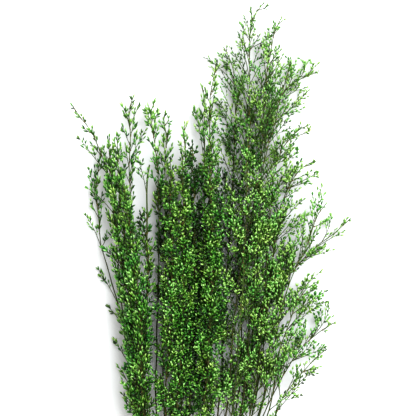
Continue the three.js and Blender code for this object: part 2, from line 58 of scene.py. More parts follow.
# ---- Real sizes in millimetres, as in the solids
MM = 0.001
STEM_RADIUS = 1.1  # at the cut end and the band
STEM_PITCH = 2.7  # between neighbours in the band
ROW_RISE = STEM_PITCH * math.sqrt(3) / 2  # the stems nest like pencils
CUT_END = -50  # Y of the average cut end
CUT_STAGGER = 10
CUT_SPLAY = 1.25  # how far the stems open again below the band
RISE_END = 250  # Y where the stems have reached their heights in the bunch
STATION = 75  # length of one straight piece of a solid's stem
LAYER_HEIGHTS = (9, 22, 36, 50, 63)
LAYER_TO_TIP = 0.25  # share of the way from RISE_END to its tip that a stem stays in its layer
BAND_WIDTH = 9.6
BAND_THICKNESS = 1.2
BAND_GAP = 0.3  # to the stems it holds
BAND_TURNS = 3
BAND_ROOM = 3  # straight stretch of the stems beside it
SHOOT_SPACING = 9
SHOOTS_FULLEST = 0.42  # how far up its leafy part a spray has its longest shoots
SHOOTS_FOOT = 0.7  # their length where the leafy part begins, against the longest
SHOOTS_WIDEST = 1.2  # the longest, against the habit's
SHOOTS_TAPER = 0.8  # under 1, they shorten slowly at first and fast near the tip
SHOOTS_SHORTEST = 0.75  # a shoot's own share of the length at its place
SHOOTS_LONGEST = 1.25
SHOOTS_SHIFT = 0.6  # how far one stands from its even place, as a share of the spacing
SHOOTS_IN_SOLID = 5  # one shoot in this many is in the solid
TIP_SHOOT = 4  # length of a shoot at the very tip
LONG_SHOOT_BOW = 0.08  # bow of a long shoot, as a share of its length
BUD_LENGTH = 4.6
GOLDEN_ANGLE = math.pi * (3 - math.sqrt(5))  # between one shoot and the next
SPRAY_TURN = 2.3  # radians between the first shoots of one spray and the next
SHOOT_SWING = 0.5  # radians within which a shoot's side turns

# ---- What only shows here, in millimetres and radians where it is no count or share. A twig's rank
# is 1 for a shoot, and 2 or 3 for side twigs.
# Stems
STEM_TOP_RADIUS = 0.45
BROKEN_TOP_RADIUS = 0.95  # of a stem that has lost its tip
STEM_STEP = 6  # between the points of a stem's line
STEM_SIDES = 10
STEM_RIB = 0.07  # how far a rib stands out of the stem, as a share of its radius
SWAY = 0.7  # how far a stem wanders beside its line
SWAY_START = (20, 140)  # Y between which it begins to
SWAY_END = 40  # how far below its tip it wanders less
SWAY_WAVES = (11, 37)  # Y for one radian of its two waves
SWAY_PHASES = 6  # radians within which they start
STEM_SCALES_START = (24, 44)  # Y between which the first dry scale of a stem is
STEM_SCALES_SPACING = 30
SCALE_LENGTH = 2.6
SCALE_RADIUS = 0.75
SCALE_ANGLE = 0.35  # between a scale and its stem
# Twigs
SAME_PLACE = 0.1  # a solid's shoot is the one that ends this near
FLOOR_ROOM = 1.1  # no twig's middle line is lower
TOP_ROOM = 2.5  # nor nearer to the solids' top
TWIG_SIDES = {1: 6, 2: 5, 3: 4}
TWIG_POINTS = {1: 9, 2: 6, 3: 4}
TWIG_RADII = {1: (0.42, 0.27), 2: (0.28, 0.2), 3: (0.22, 0.17)}
TWIG_YOUNG = {1: 0.45, 2: 0.65, 3: 0.85}  # how young a twig's root looks
BARE_ROOT = 3  # least bare stretch at the root of a shoot
BRANCHING_LENGTH = 9  # a twig this long has side twigs
BRANCHES_END = 0.86  # share of a twig where they end
FINE_START = 0.32  # share of a side twig where its own side twigs start
FINE_STEP = 3.8  # between them
FINE_SHARE = 0.36  # their length, as a share of what is left of the twig
SHORTEST_TWIG = 2.2
SIDE_SWING = 0.55  # spread of the sides to which side twigs turn
SIDE_FLATNESS = 0.75  # under 1, twigs spread more sideways than up and down
SIDE_TURN = 0.3  # how far a side twig turns along with its twig
# Buds
BUD_SIDES = 6
BUD_RINGS = ((0.0, 0.34), (0.14, 0.7), (0.38, 1.0), (0.66, 0.9), (0.88, 0.48))  # place, width
BUD_BOW = 0.35  # how far a bud bends
BUD_STALK = 0.5
BUD_SWING = 0.6  # spread of the sides to which buds turn
BUD_FLATNESS = 0.9
BUDS_START = {1: 0.5, 2: 0.42, 3: 0.3}  # share of a twig that bears no bud
BUDS_END = 1.5  # how far from its tip they end
LONE_TIP_BUD = 0.45  # how many twigs end in one bud, and not in a pair
TIP_PAIR_ANGLE = 0.3  # between a twig and each bud of its pair
TIP_PAIR_FLATNESS = 0.7
TONE_SPREAD = 0.33  # of the buds round their spray's shade
PAINTED_LIGHT_RISE = 0.3  # painted light and shade: how much brighter buds over their stem are painted, and how much darker under it
TONE_HEIGHT = 15  # over or under the stem, for all of that
PAINTED_DEEP_SHADE = 0.4  # painted shade: how much darker the deepest buds are painted
DEEP_HEIGHTS = (18, 52)  # Z between which the painted shade of the thick of the bunch deepens downwards
THICK_LEFT = (-70, -35)  # X between which the bunch grows thick, and its painted shade sets in
THICK_RIGHT = (40, 95)  # and open again, where the painted shade fades
THICK_TOP = (445, 555)  # Y between which it opens upwards, and the painted shade fades there too
# Shoots between the solids' own
WAY_AHEAD = 20  # Y from a shoot to where its stem's way is looked at
EXTRAS_FOOT = 0.4  # how many shoots stand between others at a spray's foot, against further up
EXTRAS_LENGTH = 0.7  # their length, against their neighbour's
EXTRAS_PLACE = (0.3, 0.7)  # how far they stand from it, as a share of the spacing
EXTRAS_TURN = 2  # radians round the stem from one to the next
EXTRAS_SWING = 0.4
LOW_SHOOT = 24  # length of a shoot below a spray's leafy part
# Branchlets at a stem's tip
TIP_STRETCH = 46
BRANCHLETS_END = 2.5  # how far below the tip they end
BRANCHLET_STEP = (3, 0.14)  # between them, and how much more it is further down
BRANCHLET_LENGTH = 0.2  # as a share of the way to the tip
BRANCHLET_SHORTEST = 3  # a bud stands in for a shorter one
BRANCHLET_ANGLE = 0.75
BRANCHLET_SWING = 0.3  # spread of the sides to which they turn
BRANCHLET_FLATNESS = 0.7
BRANCHLET_TURN = 0.5  # how far it turns along with the stem
BRANCHLET_BUD = 0.75  # where its side bud stands
TIP_BUD_OVERLAP = 0.6  # share of the stem's last bud that lies on the stem
# The band
FIRST_CORNER = -120  # degrees: the way out of the bundle at the first corner stem
CORNER_BEND = 30  # degrees to both sides that the band bends round a corner stem
CORNER_STEPS = 7  # points of its loops there
LOOP_STEP = 1.2  # most between their other points
LOOP_SIDES = 14
LOOP_SQUARENESS = 0.55  # below 1 their section is a rounded rectangle
LOOP_DRIFT = 0.06  # how far a loop wanders along the stems
LOOP_WAVES = 2  # round the bundle

# How shoots leave their stem, as in the solids: their angle in degrees, the longest, how far they
# turn along with the stem, how much they spread up and down (1 is as much as sideways), how long
# they still are at its tip, and how long they may be for the way left to it. Then how side twigs
# leave the shoots: the step between them, their angle, their share of what is left of the shoot,
# and the longest.
Habit = namedtuple("Habit", "angle longest turn flat high reach step side_angle share side_longest")
HABITS = {
    "spire": Habit(25, 38, 0.3, 0.55, 0.3, 0.32, 4.6, 27, 0.44, 13),
    "open": Habit(40, 66, 0.05, 0.4, 0.5, 0.42, 5.6, 38, 0.46, 20),
    "thin": Habit(27, 20, 0.3, 0.6, 0.3, 0.32, 5.5, 30, 0.4, 8),
}

# Each spray as in the solids, and its look, one of those below. leaf_from: Y where its shoots
# begin. tip_z: height of its tip. line: its line over the surface. long_shoots: each as (y on the
# stem, tip x, tip y, tip z).
Spray = namedtuple("Spray", "name layer habit look leaf_from tip_z line long_shoots")
SPRAYS = [Spray(*row) for row in (
    ("left_low", 0, "thin", "edge", 396, 10,
     ((-73, 197), (-79, 274), (-84, 300), (-101, 360), (-112, 396), (-115, 427), (-119, 468),
      (-116, 498), (-112, 518)),
     ((394, -131, 437, 12), (330, -116, 371, 6), (448, -127, 492, 16), (300, -104, 325, 0),
      (226, -92, 254, 10), (190, -87, 220, 10), (255, -97, 286, 8))),
    ("gap_right", 0, "spire", "gap", 320, 12,
     ((-36, 197), (-35, 396), (-35, 504), (-34, 534), (-37, 552), (-34, 563)),
     ((400, -24, 436, 0),)),
    ("crown_left", 0, "open", "flank", 180, 14,
     ((29, 197), (38, 336), (46, 456), (50, 576), (46, 618), (36, 641)),
     ((596, 14, 628, 12), (600, 30, 632, 18), (500, 40, 546, 0))),
    ("right_arch", 0, "open", "side", 260, 10,
     ((59, 197), (74, 336), (83, 504), (89, 552), (100, 578), (115, 594), (133, 605), (152, 612)),
     ((590, 128, 627, 14), (600, 141, 625, 8), (572, 112, 628, 16), (540, 138, 588, 12))),
    ("right_long", 0, "open", "arc", 250, 12,
     ((79, 197), (91, 276), (105, 336), (115, 364), (128, 380), (151, 402), (169, 415),
      (190, 434)),
     ((398, 181, 418, 8), (405, 166, 438, 14), (300, 128, 334, 0), (372, 152, 424, 18))),
    ("left_tip", 1, "thin", "edge", 400, 18,
     ((-70, 197), (-78, 252), (-86, 312), (-92, 384), (-98, 444), (-105, 492), (-114, 516),
      (-125, 540), (-136, 554), (-148, 572)),
     ((486, -138, 530, 22), (440, -128, 470, 24))),
    ("left_spire", 1, "spire", "edge", 160, 20,
     ((-62, 197), (-70, 300), (-76, 396), (-78, 480), (-77, 540), (-79, 562), (-73, 582)),
     ((540, -86, 569, 24), (545, -67, 570, 18), (500, -59, 539, 22), (478, -67, 517, 26))),
    ("twin", 1, "spire", "edge", 190, 22,
     ((5, 197), (12, 396), (13, 504), (13, 540), (12, 576), (10, 593)),
     ((498, 1, 566, 26),)),
    ("tallest", 1, "open", "crown", 185, 20,
     ((50, 197), (59, 336), (65, 504), (67, 540), (67, 612), (67, 654), (72, 677), (84, 694)),
     ((600, 55, 652, 28), (625, 61, 676, 22))),
    ("right_upper", 1, "open", "shoulder", 225, 20,
     ((70, 197), (89, 336), (100, 426), (112, 468), (127, 492), (146, 504)),
     ((470, 137, 478, 16), (455, 128, 503, 26))),
    ("right_foot", 1, "open", "right", 205, 14,
     ((84, 197), (92, 216), (109, 246), (128, 276), (151, 296), (172, 309)),
     ((262, 158, 277, 8), (285, 146, 317, 18), (244, 134, 306, 22), (280, 163, 330, 12))),
    ("left_outer", 2, "spire", "left", 150, 30,
     ((-67, 197), (-76, 300), (-87, 384), (-96, 450), (-101, 500), (-102, 534)),
     ((372, -108, 398, 34), (440, -106, 476, 30))),
    ("gap_left", 2, "thin", "gap", 440, 30,
     ((-44, 197), (-44, 300), (-42, 402), (-43, 468), (-44, 504), (-49, 534), (-52, 558),
      (-47, 576)),
     ((530, -57, 566, 34), (540, -44, 562, 26))),
    ("mid_spire", 2, "spire", "mid", 180, 30,
     ((-15, 197), (-10, 396), (-10, 504), (-12, 534), (-11, 550)), ()),
    ("mid_tall", 2, "spire", "mid", 180, 32,
     ((12, 197), (19, 396), (20, 504), (19, 576), (22, 594), (28, 622)), ()),
    ("crown_right", 2, "open", "side", 205, 28,
     ((55, 197), (69, 336), (81, 516), (86, 590), (91, 630), (97, 658), (106, 677)),
     ((590, 112, 618, 34), (610, 102, 640, 24))),
    ("right_shoulder", 2, "open", "shoulder", 215, 28,
     ((67, 197), (84, 336), (94, 468), (104, 514), (115, 529), (127, 541), (140, 547)),
     ((500, 124, 517, 26),)),
    ("right_middle", 2, "open", "arc", 240, 26,
     ((78, 197), (104, 324), (122, 374), (138, 408), (149, 438), (160, 453)),
     ((404, 153, 473, 32), (380, 133, 440, 36))),
    ("left_inner", 3, "spire", "left", 160, 42,
     ((-63, 197), (-70, 300), (-80, 390), (-88, 460), (-92, 536)), ()),
    ("snapped", 3, "thin", "stub", 200, 40,
     ((-57, 197), (-55, 360), (-56, 450), (-56, 480), (-53, 498)),
     ((462, -67, 505, 46),)),
    ("middle", 3, "spire", "under", 180, 40, ((-5, 197), (0, 336), (0, 456), (-2, 526)), ()),
    ("crown_middle", 3, "open", "crown", 190, 42,
     ((38, 197), (50, 336), (72, 456), (94, 540), (107, 590), (116, 622)), ()),
    ("right_low", 3, "open", "right", 205, 32,
     ((86, 197), (102, 276), (118, 322), (133, 348), (151, 360)),
     ((296, 158, 333, 24), (320, 149, 343, 40))),
    ("right_lowest", 3, "open", "right", 215, 26, ((96, 197), (110, 228), (139, 262), (160, 277)),
     ((222, 148, 252, 20), (204, 131, 239, 30), (168, 104, 210, 30))),
    ("top_left", 4, "spire", "plume", 168, 54, ((-58, 197), (-62, 300), (-71, 390), (-84, 480)), ()),
    ("top_bright", 4, "spire", "top", 172, 54, ((-33, 197), (-27, 300), (-26, 396), (-28, 506)), ()),
    ("top_second", 4, "spire", "top", 175, 56, ((-19, 197), (-14, 288), (-12, 396), (-14, 514)), ()),
    ("top_middle", 4, "spire", "top", 180, 56, ((12, 197), (18, 288), (22, 396), (18, 522)), ()),
    ("top_right", 4, "open", "net", 190, 54, ((44, 197), (53, 288), (60, 396), (64, 528)), ()),
)]
ROWS = [[s.name for s in SPRAYS if s.layer == layer] for layer in range(len(LAYER_HEIGHTS))]
LEAF_TO = {"snapped": 440}  # its tip has broken off, and is bare above this Y

# Long shoots beside those of the table above, as it lists them.
MORE_SHOOTS = {
    "snapped": ((385, -66, 428, 24), (400, -64, 440, 30)),
    "right_upper": ((405, 126, 436, 22), (422, 132, 456, 20), (470, 148, 488, 18)),
    "right_low": ((300, 158, 346, 26),),
    "crown_left": ((540, 26, 580, 12), (562, 62, 604, 24)),
    "tallest": ((560, 50, 604, 22), (548, 48, 586, 18)),
}

# How the sprays of each part of the bunch look.
# shade: how deep (0) or bright (1) their green is. bud: its length and greatest radius.
# spread: degrees between a bud and its twig. spacing: between buds. pairs: how many have a twin.
# bare: how much of a shoot is bare, from its root. between: shoots between two in the solids'
# rhythm, and full: how far below its tip a spray has them all. wide, step: how far shoots and
# twigs spread and stand apart, against their habit. inner: how many twigs leave an arch's outer
# side bare. kept: how many shoots have grown in the thick of the bunch. low: shoots on the bare
# stem below the leafy part.
Look = namedtuple("Look", "shade bud spread spacing pairs bare between full wide step inner kept low",
                  defaults=(0,))
LOOKS = {
    "left": Look(0.56, (5.0, 0.92), 32, 4.8, 0.15, 0.24, 1.4, 50, 0.9, 1.1, 0, 1),
    "plume": Look(0.36, (4.8, 0.92), 36, 4.4, 0.2, 0.2, 1.7, 45, 0.9, 1.05, 0, 1),
    "stub": Look(0.44, (4.6, 0.88), 32, 4.8, 0.15, 0.24, 2.2, 70, 1.5, 0.95, 0, 1),
    "gap": Look(0.68, (4.8, 0.88), 30, 5.2, 0.1, 0.3, 0.6, 130, 0.9, 1.25, 0, 1),
    "edge": Look(0.52, (4.7, 0.84), 32, 6.2, 0.05, 0.36, 0.45, 160, 0.8, 1.7, 0, 0.8),
    "mid": Look(0.72, (4.2, 0.84), 34, 4.7, 0.1, 0.27, 1.0, 170, 0.9, 1.25, 0, 1),
    # Painted shade: the spray under the top layer is given the darkest green, for the shade it lies in.
    "under": Look(0.0, (3.9, 0.95), 50, 3.5, 0.4, 0.14, 1.3, 60, 1.3, 1.0, 0, 1),
    "top": Look(0.39, (4.0, 0.98), 52, 3.4, 0.4, 0.14, 1.5, 70, 1.3, 1.0, 0, 1),
    "net": Look(0.7, (3.7, 0.88), 42, 4.0, 0.15, 0.22, 0.9, 90, 1.0, 1.15, 0.2, 0.45),
    "crown": Look(0.52, (3.5, 0.68), 34, 4.5, 0.08, 0.32, 0.45, 190, 0.85, 1.6, 0, 0.42),
    "flank": Look(0.58, (3.3, 0.68), 34, 3.9, 0.1, 0.27, 0.45, 160, 0.9, 1.3, 0, 0.9),
    "side": Look(0.76, (3.4, 0.76), 34, 4.2, 0.1, 0.25, 0.5, 80, 0.75, 1.3, 0.1, 0.15, 12),
    "shoulder": Look(0.74, (3.7, 0.86), 36, 4.9, 0.05, 0.3, 0.65, 35, 0.95, 1.35, 0.5, 0.65, 7),
    "arc": Look(0.73, (3.8, 0.88), 36, 5.3, 0.05, 0.32, 0.35, 80, 0.85, 1.5, 0.75, 0.65, 3),
    "right": Look(0.74, (3.7, 0.88), 36, 5.1, 0.05, 0.3, 0.65, 50, 0.9, 1.35, 0.6, 0.8),
}

UP = np.array((0.0, 0.0, 1.0))
BUD, TWIG, PITH, SCALE = range(4)  # a spray's materials, by their places in its mesh
HASH_START = 2166136261
HASH_FACTORS = (16777619, 1540483477)
HASH_RANGE = 2 ** 32


# ---- Numbers and directions
def draw(*keys):
    """The solids' repeatable draw from 0 to 1 for whole-number keys."""
    h = HASH_START
    for key in keys:
        h = (h ^ key) * HASH_FACTORS[0] % HASH_RANGE
        h ^= h >> 13
        h = h * HASH_FACTORS[1] % HASH_RANGE
        h ^= h >> 15
    return h / HASH_RANGE


def mix(a, b, t):
    """From a to b as t goes from 0 to 1."""
    return a + (b - a) * t


def smooth(value, low, high):
    """From 0 at low to 1 at high, and level beyond them."""
    t = min(1.0, max(0.0, (value - low) / (high - low)))
    return t * t * (3 - 2 * t)


def smooth_line(points, at):
    """The value at `at` of a smooth line through (value, at) points in rising order of `at`."""
    last = len(points) - 1
    i = 0
    while i < last - 1 and at > points[i + 1][1]:
        i += 1

    def slope(j):
        a = points[max(j - 1, 0)]
        b = points[min(j + 1, last)]
        return (b[0] - a[0]) / (b[1] - a[1])

    (v0, t0), (v1, t1) = points[i], points[i + 1]
    t = (at - t0) / (t1 - t0)
    bend = slope(i) * (t**3 - 2 * t**2 + t) + slope(i + 1) * (t**3 - t**2)
    return v0 * (2 * t**3 - 3 * t**2 + 1) + v1 * (3 * t**2 - 2 * t**3) + (t1 - t0) * bend


def unit(v):
    return v / np.linalg.norm(v, axis=-1, keepdims=True)


def sides_of(direction):
    """Two directions square to each direction: one level, and one over it."""
    across = unit(np.cross(direction, UP))
    return across, np.cross(across, direction)


def leaning(direction, angle, azimuth, flat=1.0):
    """A direction at an angle to `direction`, at an azimuth round it that starts sideways."""
    across, over = sides_of(direction)
    sideways = math.cos(azimuth) * across + math.sin(azimuth) * flat * over
    return unit(math.cos(angle) * direction + math.sin(angle) * sideways)


# ---- The stems' lines
def slot_of(layer, name):
    """A stem's place in the band, as (x, z)."""
    row = ROWS[layer]
    x = (row.index(name) - (len(row) - 1) / 2) * STEM_PITCH
    return x, BAND_THICKNESS + BAND_GAP + STEM_RADIUS + layer * ROW_RISE


BUNDLE_MIDDLE_Z = BAND_THICKNESS + BAND_GAP + STEM_RADIUS + 2 * ROW_RISE
STRAIGHT = BAND_WIDTH / 2 + BAND_ROOM  # half the stretch in the band


def sway_at(index, y, tip_y):
    """How far a stem stands beside its line at y."""
    sway = SWAY * smooth(y, *SWAY_START) * smooth(tip_y - y, 0, SWAY_END)
    phases = [SWAY_PHASES * draw(index, key) for key in (11, 12)]
    waves = [math.sin(y / wave + phase) for wave, phase in zip(SWAY_WAVES, phases)]
    return sway * waves[0] * waves[1]


def stem_line(index, step, swaying=False):
    """A stem's middle line with a point every `step`, from its cut end to its tip."""
    spray = SPRAYS[index]
    slot_x, slot_z = slot_of(spray.layer, spray.name)
    tip_x, tip_y = spray.line[-1]
    route = ((slot_x, -STRAIGHT), (slot_x, STRAIGHT), *spray.line)
    cut_y = CUT_END + (draw(index, 1) - 0.5) * 2 * CUT_STAGGER
    cut_z = BUNDLE_MIDDLE_Z + (slot_z - BUNDLE_MIDDLE_Z) * CUT_SPLAY
    points = [(slot_x * CUT_SPLAY, cut_y, cut_z), (slot_x, -STRAIGHT, slot_z)]
    y = STRAIGHT
    while y < tip_y - step / 3:
        risen = mix(slot_z, LAYER_HEIGHTS[spray.layer], smooth(y, STRAIGHT, RISE_END))
        z = mix(risen, spray.tip_z, smooth(y, mix(RISE_END, tip_y, LAYER_TO_TIP), tip_y))
        sway = sway_at(index, y, tip_y) if swaying else 0
        points.append((smooth_line(route, y) + sway, y, z))
        y += step
    points.append((tip_x, tip_y, spray.tip_z))
    return np.array(points, float)


def on_line(points, y):
    """The point of a line at y, and the line's direction there."""
    i = min(max(np.searchsorted(points[:, 1], y) - 1, 0), len(points) - 2)
    along = points[i + 1] - points[i]
    return points[i] + along * (y - points[i, 1]) / along[1], unit(along)


def depth(point):
    """How deep a point lies in the thick of the bunch, from 0 to 1: where the painted shade falls."""
    x, y, z = point
    below = (1 - smooth(z, *DEEP_HEIGHTS)) * (1 - smooth(y, *THICK_TOP))
    return below * smooth(x, *THICK_LEFT) * (1 - smooth(x, *THICK_RIGHT))


# ---- Twigs, each a curve with one bend: its root, the point it bends to, and its tip
def bent_path(root, heading, direction, turn, length):
    """The root, elbow and tip of a twig that turns from its heading towards a direction."""
    elbow = root + heading * length / 2
    return root, elbow, elbow + unit(heading + turn * direction) * length / 2


def curve_through(root, elbow, tip):
    """A curve, as its root, control point and tip, between the surface and the bunch's top."""
    curve = np.array((root, 2 * elbow - (root + tip) / 2, tip))
    curve[1:, 2] = np.clip(curve[1:, 2], FLOOR_ROOM, cad_high.z / MM - TOP_ROOM)
    return curve


def along_curve(curve, t):
    """The point of a curve at t, and the curve's direction there."""
    root, control, tip = curve
    point = (1 - t) ** 2 * root + 2 * t * (1 - t) * control + t * t * tip
    return point, unit((1 - t) * (control - root) + t * (tip - control))


def curve_length(curve):
    """About how long a curve is."""
    legs = np.linalg.norm(np.diff(curve, axis=0), axis=1).sum()
    return (legs + np.linalg.norm(curve[2] - curve[0])) / 2


class Growth:
    """The twigs, buds and scales of one spray."""

    def __init__(self, seed, habit, look, stem):
        self.random = np.random.default_rng(seed)
        self.stem = stem
        self.habit = HABITS[habit]
        self.look = look
        self.twigs = {1: [], 2: [], 3: []}
        self.buds = []
        self.scales = []

    def around(self, value, share=0.2):
        """A draw near a value, up to a share of it away."""
        return value * self.random.uniform(1 - share, 1 + share)

    def bud(self, root, direction):
        """A bud on a short stalk, kept off the surface."""
        length, radius = self.look.bud
        size = self.around(1, share=0.2)
        tip = root + direction * (length * size + BUD_STALK)
        tip[2] = max(tip[2], FLOOR_ROOM)
        radius = self.around(radius * size, share=0.1)
        raised = root[2] - np.interp(root[1], self.stem[:, 1], self.stem[:, 2])
        over = np.clip(raised / TONE_HEIGHT, -1, 1)
        # Painted light and shade: a bud over its stem is painted brighter, one under it darker, and one
        # deep in the thick of the bunch darker still.
        tone = self.look.shade + PAINTED_LIGHT_RISE * over - PAINTED_DEEP_SHADE * depth(root)
        tone = np.clip(self.random.normal(tone, TONE_SPREAD), 0, 1)
        self.buds.append((*root, *tip, radius, self.random.uniform(0, math.pi), tone))

    def scale(self, root, direction):
        """A dry scale, built like a bud, of middling tone."""
        tip = root + direction * self.around(SCALE_LENGTH, share=0.25)
        self.scales.append((*root, *tip, SCALE_RADIUS, self.random.uniform(0, math.pi), 0.5))

    def tip_buds(self, point, direction):
        """One bud in line with its twig, or a pair that parts at its tip."""
        if self.random.random() < LONE_TIP_BUD:
            self.bud(point, direction)
            return
        azimuth = self.random.uniform(0, math.pi)
        for turn in (0, math.pi):
            angle = self.around(TIP_PAIR_ANGLE, share=0.4)
            self.bud(point, leaning(direction, angle, azimuth + turn, TIP_PAIR_FLATNESS))

    def twig(self, curve, rank):
        """A twig with its side twigs and buds, on alternate sides."""
        self.twigs[rank].append(curve)
        length = curve_length(curve)
        side = math.pi * self.random.integers(2)
        if rank < 3 and length > BRANCHING_LENGTH:
            step, at, share = FINE_STEP, FINE_START * length, FINE_SHARE
            if rank == 1:
                step, share = self.habit.step, self.habit.share
                at = max(self.look.bare * length, BARE_ROOT)
            step = self.look.step * step
            while at < BRANCHES_END * length:
                reach = self.around(min(share * (length - at), self.habit.side_longest), share=0.25)
                if reach > SHORTEST_TWIG:
                    turned = self.inner(curve[2, 0] - curve[0, 0], side)
                    self.side_twig(curve, at / length, turned, reach, rank + 1)
                side += math.pi
                at += self.around(step, share=0.3)
        self.own_buds(curve, length, rank, side)

    def inner(self, way, azimuth):
        """An azimuth, mostly turned to the inner side of a twig that goes this way in X."""
        outer = math.cos(azimuth) * math.copysign(1, way) > 0
        if outer and self.random.random() < self.look.inner:
            return math.pi - azimuth
        return azimuth

    def side_twig(self, curve, t, side, reach, rank):
        """A side twig with all that grows on it."""
        root, tangent = along_curve(curve, t)
        angle = math.radians(self.around(self.habit.side_angle * self.look.wide, share=0.25))
        side += self.random.normal(0, SIDE_SWING)
        heading = leaning(tangent, angle, side, SIDE_FLATNESS)
        path = bent_path(root, heading, tangent, SIDE_TURN, reach)
        self.twig(curve_through(*path), rank)

    def side_bud(self, point, direction, azimuth):
        angle = math.radians(self.around(self.look.spread, share=0.35))
        azimuth += self.random.normal(0, BUD_SWING)
        self.bud(point, leaning(direction, angle, azimuth, BUD_FLATNESS))

    def own_buds(self, curve, length, rank, side):
        """Buds on the outer part of a twig, and at its tip."""
        at = BUDS_START[rank] * length
        while at < length - BUDS_END:
            place = along_curve(curve, at / length)
            self.side_bud(*place, side)
            if self.random.random() < self.look.pairs:
                self.side_bud(*place, side + math.pi)
            side += math.pi
            at += self.around(self.look.spacing, share=0.25)
        self.tip_buds(*along_curve(curve, 1.0))


# ---- Shoots of a spray
AZIMUTH_TRIES = (0, 0.6, -0.6, 1.2, -1.2, 1.9, -1.9, 2.6)
LENGTH_TRIES = (1, 0.75, 0.55)


def shoot_path(points, y, azimuth, length, habit):
    """A shoot's root, elbow and tip, as in the solids."""
    point, direction = on_line(points, y)
    heading = leaning(direction, math.radians(habit.angle), azimuth, habit.flat)
    return bent_path(point, heading, direction, habit.turn, length)


def solid_points(node):
    """The corners of a solid, in millimetres, to look places up in."""
    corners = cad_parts[node].data.vertices
    tree = KDTree(len(corners))
    for i, corner in enumerate(corners):
        tree.insert(corner.co / MM, i)
    tree.balance()
    return tree


def solid_shoot(tree, points, y, azimuth, length, habit):
    """The shoot that the solid has here: the first try that ends at one of its corners."""
    for shorter in LENGTH_TRIES:
        for nudge in AZIMUTH_TRIES:
            path = shoot_path(points, y, azimuth + nudge, length * shorter, habit)
            if tree.find(path[2])[2] < SAME_PLACE:
                return path
    return None


def width_at(height, habit):
    """How long shoots are at a share of the leafy part's height, as in the solids."""
    below = mix(SHOOTS_FOOT, 1, smooth(height, 0, SHOOTS_FULLEST))
    return SHOOTS_WIDEST * below * mix(habit.high, 1, (1 - height) ** SHOOTS_TAPER)


def lengths_to_tip(stem):
    """The length of a stem from each of its points to its tip."""
    legs = np.linalg.norm(np.diff(stem, axis=0), axis=1)
    return np.append(np.cumsum(legs[::-1])[::-1], 0)


def grow_shoots(growth, index, stem):
    """The side shoots of a spray, in the solids' places and between them."""
    spray = SPRAYS[index]
    habit = growth.habit
    tree = solid_points("spray_" + spray.name)
    straight = stem_line(index, STATION)
    tip_y = LEAF_TO.get(spray.name, spray.line[-1][1])
    i = 0
    while True:
        y = spray.leaf_from + (i + SHOOTS_SHIFT * draw(index, i, 3)) * SHOOT_SPACING
        if y > tip_y - BUD_LENGTH:
            break
        height = (y - spray.leaf_from) / (tip_y - spray.leaf_from)
        own = mix(SHOOTS_SHORTEST, SHOOTS_LONGEST, draw(index, i, 2))
        length = habit.longest * width_at(height, habit) * own
        to_tip = np.interp(y, straight[:, 1], lengths_to_tip(straight))
        length = min(length, TIP_SHOOT + habit.reach * to_tip)
        swing = (draw(index, i, 4) - 0.5) * SHOOT_SWING
        azimuth = i * GOLDEN_ANGLE + index * SPRAY_TURN + swing
        path = None
        if i % SHOOTS_IN_SOLID == 0:
            path = solid_shoot(tree, straight, y, azimuth, length, habit)
        kept = mix(growth.look.kept, 1, smooth(y, *THICK_TOP))
        if path is None and growth.random.random() < kept:
            path = free_shoot(growth, stem, y, azimuth, length)
        if path is not None:
            add_shoot(growth, stem, y, path)
        fullness = growth.look.between * smooth(to_tip, TIP_STRETCH / 2, growth.look.full)
        fullness *= kept * mix(EXTRAS_FOOT, 1, smooth(height, 0, SHOOTS_FULLEST))
        for extra in range(int(fullness + growth.random.random())):
            higher = min(y + SHOOT_SPACING * growth.random.uniform(*EXTRAS_PLACE), tip_y)
            turned = azimuth + EXTRAS_TURN * (1 + extra) + growth.random.normal(0, EXTRAS_SWING)
            path = free_shoot(growth, stem, higher, turned, EXTRAS_LENGTH * length)
            add_shoot(growth, stem, higher, path)
        i += 1


def grow_low_shoots(growth, index, stem):
    """Shoots on the bare stem below the leafy part, for the looks that have some."""
    for i in range(growth.look.low):
        y = SPRAYS[index].leaf_from - (i + growth.random.random()) * SHOOT_SPACING / 2
        length = growth.around(LOW_SHOOT, share=0.3)
        path = free_shoot(growth, stem, y, i * GOLDEN_ANGLE + index, length)
        add_shoot(growth, stem, y, path)


def grow_long_shoots(growth, index, stem):
    """The long shoots that are placed one by one."""
    spray = SPRAYS[index]
    straight = stem_line(index, STATION)
    for y, *tip in (*spray.long_shoots, *MORE_SHOOTS.get(spray.name, ())):
        point, direction = on_line(straight, y)
        tip = np.array(tip, float)
        elbow = (point + tip) / 2 + direction * LONG_SHOOT_BOW * np.linalg.norm(tip - point)
        add_shoot(growth, stem, y, (point, elbow, tip))


def free_shoot(growth, stem, y, azimuth, length):
    """A shoot that is only shown, as wide as its part of the bunch grows."""
    wide = growth.look.wide
    habit = growth.habit
    habit = habit._replace(angle=habit.angle * wide, turn=habit.turn / wide)
    ahead, _ = on_line(stem, y + WAY_AHEAD)
    here, _ = on_line(stem, y)
    azimuth = growth.inner(ahead[0] - here[0], azimuth)
    return shoot_path(stem, y, azimuth, length, habit)


def add_shoot(growth, stem, y, path):
    """A shoot with all that grows on it, and the dry scale at its root."""
    root, _ = on_line(stem, y)
    curve = curve_through(root, *path[1:])
    growth.twig(curve, 1)
    growth.scale(root, unit(curve[1] - curve[0]))


def grow_tip(growth, stem):
    """Short branchlets on the last stretch of a stem, shorter towards its tip, and a bud there."""
    to_tip = lengths_to_tip(stem)
    least, more = BRANCHLET_STEP
    side = growth.random.uniform(0, math.pi)
    below = TIP_STRETCH
    while below > BRANCHLETS_END:
        point, direction = on_line(stem, np.interp(-below, -to_tip, stem[:, 1]))
        reach = growth.around(BRANCHLET_LENGTH * below, share=0.35)
        if reach > BRANCHLET_SHORTEST:
            branchlet(growth, point, direction, side, reach)
        else:
            growth.side_bud(point, direction, side)
        side += math.pi + growth.random.normal(0, BRANCHLET_SWING)
        below -= growth.around(least + more * below, share=0.3) * growth.look.step
    growth.bud(*on_line(stem, stem[-1, 1] - growth.look.bud[0] * TIP_BUD_OVERLAP))


